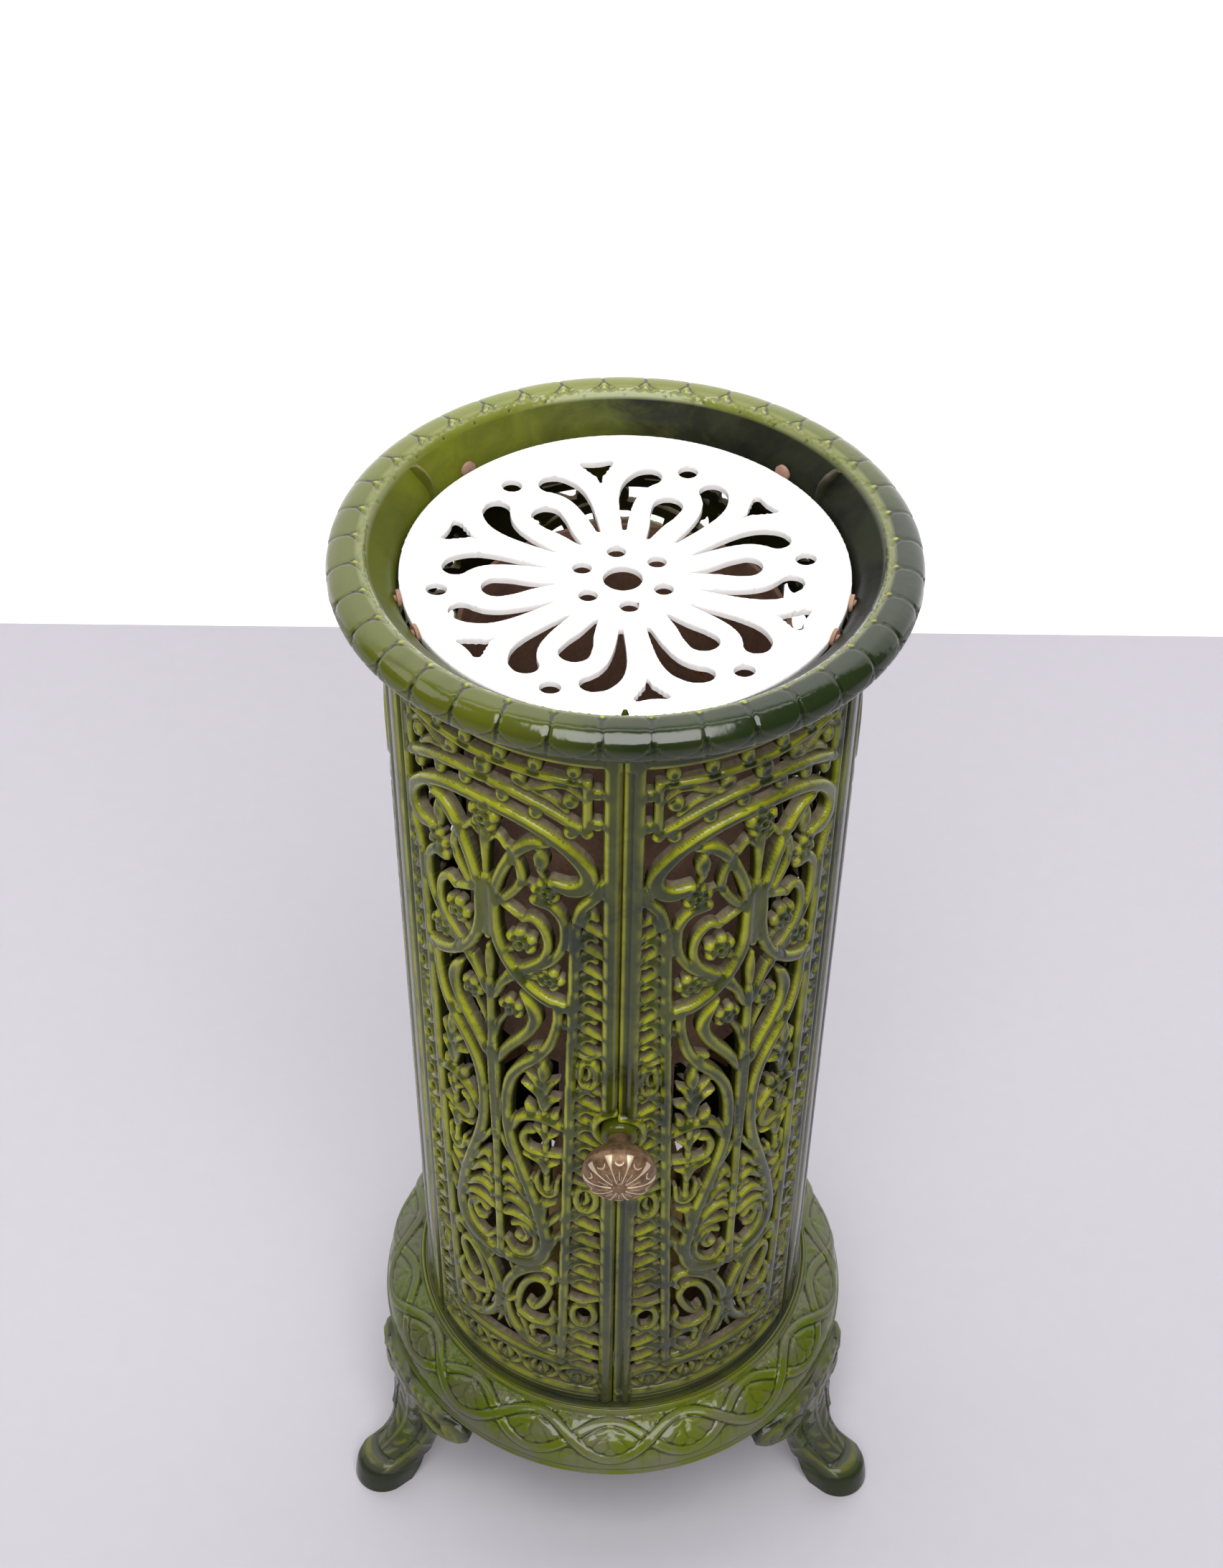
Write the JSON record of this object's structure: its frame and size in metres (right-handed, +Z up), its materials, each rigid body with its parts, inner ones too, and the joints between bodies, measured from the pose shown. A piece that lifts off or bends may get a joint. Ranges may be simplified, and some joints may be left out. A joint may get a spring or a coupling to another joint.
{
  "type": "kerosene heater",
  "caption": "Round openwork cast heater on a flared base with feet; front doors with a knob, rolled top ring, lift-out pierced grille, and inside it a tank, round-wick burner, chimney and drum.",
  "frame": {"origin": "on the floor, on the axis of the round body", "axes": "+Z up along the body's axis, -Y towards the front doors, +X towards the right door as seen from the front"},
  "size_m": [0.3608, 0.3791, 0.749],
  "materials": {
    "green_enamel": "glossy vitreous enamel",
    "white_enamel": "glossy white enamel",
    "bronze": "aged, rubbed bronze",
    "rusty_sheet": "rusty sheet iron",
    "dark_steel": "dull steel",
    "tank_brass": "dull brass",
    "wick_cotton": "woven cotton",
    "seal_fibre": "matt",
    "mica": "clear mica"
  },
  "bodies": {
    "frame": {"base_ring": "green_enamel", "foot_front_left": "green_enamel", "foot_front_right": "green_enamel", "foot_rear": "green_enamel", "foot_bolts": "dark_steel", "floor_tray": "dark_steel", "panel_side_left": "green_enamel", "panel_side_right": "green_enamel", "panel_rear": "green_enamel", "seam_straps": "rusty_sheet", "strap_screws": "rusty_sheet", "top_ring": "green_enamel", "ring_screws": "rusty_sheet", "grille_peg": "green_enamel", "heat_drum": "rusty_sheet", "drum_brackets": "rusty_sheet", "drum_rivets": "rusty_sheet", "bracket_screws": "rusty_sheet", "fuel_tank": "tank_brass", "filler_neck": "tank_brass", "burner_body": "tank_brass", "inner_draught_tube": "tank_brass"},
    "grille": {"grille": "white_enamel"},
    "door_left": {"door_left": "green_enamel", "hinge_pins_left": "dark_steel"},
    "door_right": {"door_right": "green_enamel", "hinge_pins_right": "dark_steel"},
    "latch": {"knob": "bronze", "latch_spindle": "dark_steel", "latch_washer": "dark_steel", "latch_tongue": "dark_steel", "latch_nut": "dark_steel"},
    "filler_cap": {"filler_cap": "tank_brass", "cap_seal": "seal_fibre"},
    "wick": {"wick": "wick_cotton"},
    "wick_knob": {"wick_wheel": "tank_brass", "wick_shaft": "dark_steel", "wick_pinion": "dark_steel"},
    "spreader": {"flame_spreader": "dark_steel"},
    "chimney": {"chimney": "rusty_sheet", "mica_window": "mica"}
  },
  "joints": [
    {"name": "grille_lift", "type": "slide", "parent": "frame", "child": "grille", "axis": [0, 0, 1], "range_m": [0, 0.06]},
    {"name": "door_left_hinge", "type": "hinge", "parent": "frame", "child": "door_left", "pos_m": [-0.11363, -0.05513, 0.423], "axis": [0, 0, -1], "range_deg": [0, 100]},
    {"name": "door_right_hinge", "type": "hinge", "parent": "frame", "child": "door_right", "pos_m": [0.11363, -0.05513, 0.423], "axis": [0, 0, 1], "range_deg": [0, 100]},
    {"name": "latch_turn", "type": "hinge", "parent": "door_right", "child": "latch", "pos_m": [0.001, -0.13, 0.421], "axis": [0, 1, 0], "range_deg": [-90, 0]},
    {"name": "filler_cap_lift", "type": "slide", "parent": "frame", "child": "filler_cap", "axis": [0, 0, 1], "range_m": [0, 0.03]},
    {"name": "wick_turn", "type": "hinge", "parent": "frame", "child": "wick_knob", "pos_m": [0, -0.09, 0.2075], "axis": [0, -1, 0], "range_deg": [0, 170]},
    {"name": "wick_rise", "type": "slide", "parent": "frame", "child": "wick", "axis": [0, 0, 1], "range_m": [0, 0.012]},
    {"name": "spreader_lift", "type": "slide", "parent": "frame", "child": "spreader", "axis": [0, 0, 1], "range_m": [0, 0.02]},
    {"name": "chimney_lift", "type": "slide", "parent": "frame", "child": "chimney", "axis": [0, 0, 1], "range_m": [0, 0.05]}
  ],
  "couplings": [
    {"joint": "wick_rise", "follows": "wick_turn", "m_per_rad": 0.004}
  ]
}
